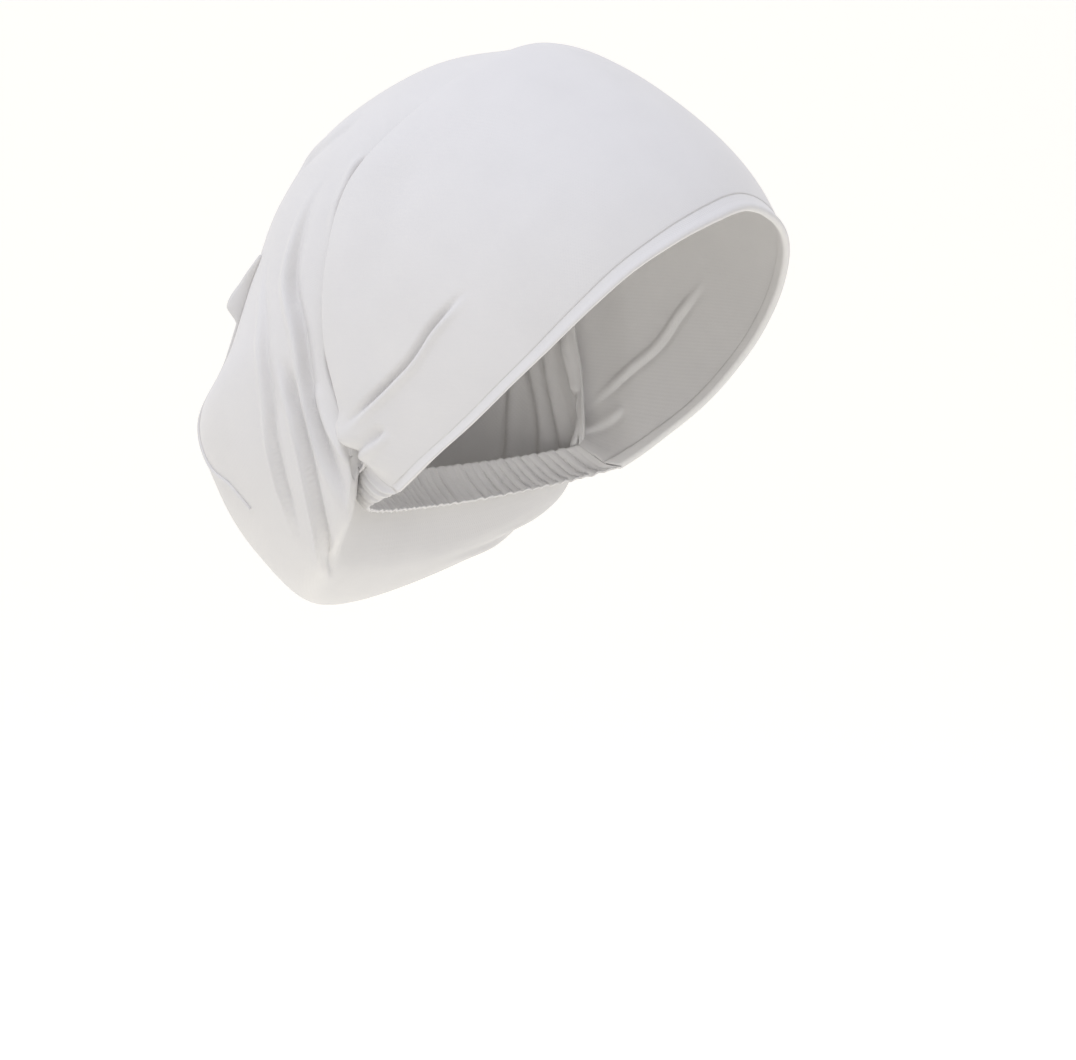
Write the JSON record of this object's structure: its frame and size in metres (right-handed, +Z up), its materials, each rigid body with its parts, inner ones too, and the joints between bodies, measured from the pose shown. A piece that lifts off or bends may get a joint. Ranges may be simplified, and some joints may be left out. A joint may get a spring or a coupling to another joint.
{
  "type": "hijab underscarf cap",
  "caption": "Soft jersey underscarf cap in its worn shape: smooth front panel with a rolled face edge, gathered nape band and a folded hair pouch hanging below the rim.",
  "frame": {"origin": "inside of the crown, at the point where the top of the wearer's head touches it", "axes": "+Z up, -Y toward the wearer's face, +Y toward the back of the head and the hair pouch, +X toward the wearer's left"},
  "size_m": [0.157, 0.218, 0.2033],
  "materials": {
    "jersey": "fine off-white jersey, matt",
    "hem_jersey": "fine off-white jersey, folded double",
    "band_jersey": "fine off-white jersey, gathered over elastic",
    "bag_jersey": "fine off-white jersey, matt",
    "seam_jersey": "off-white jersey, overlocked seam"
  },
  "bodies": {
    "root": {"crown": "jersey", "face_hem": "hem_jersey", "nape_band": "band_jersey", "bag": "bag_jersey", "end_seam": "seam_jersey"}
  },
  "joints": []
}
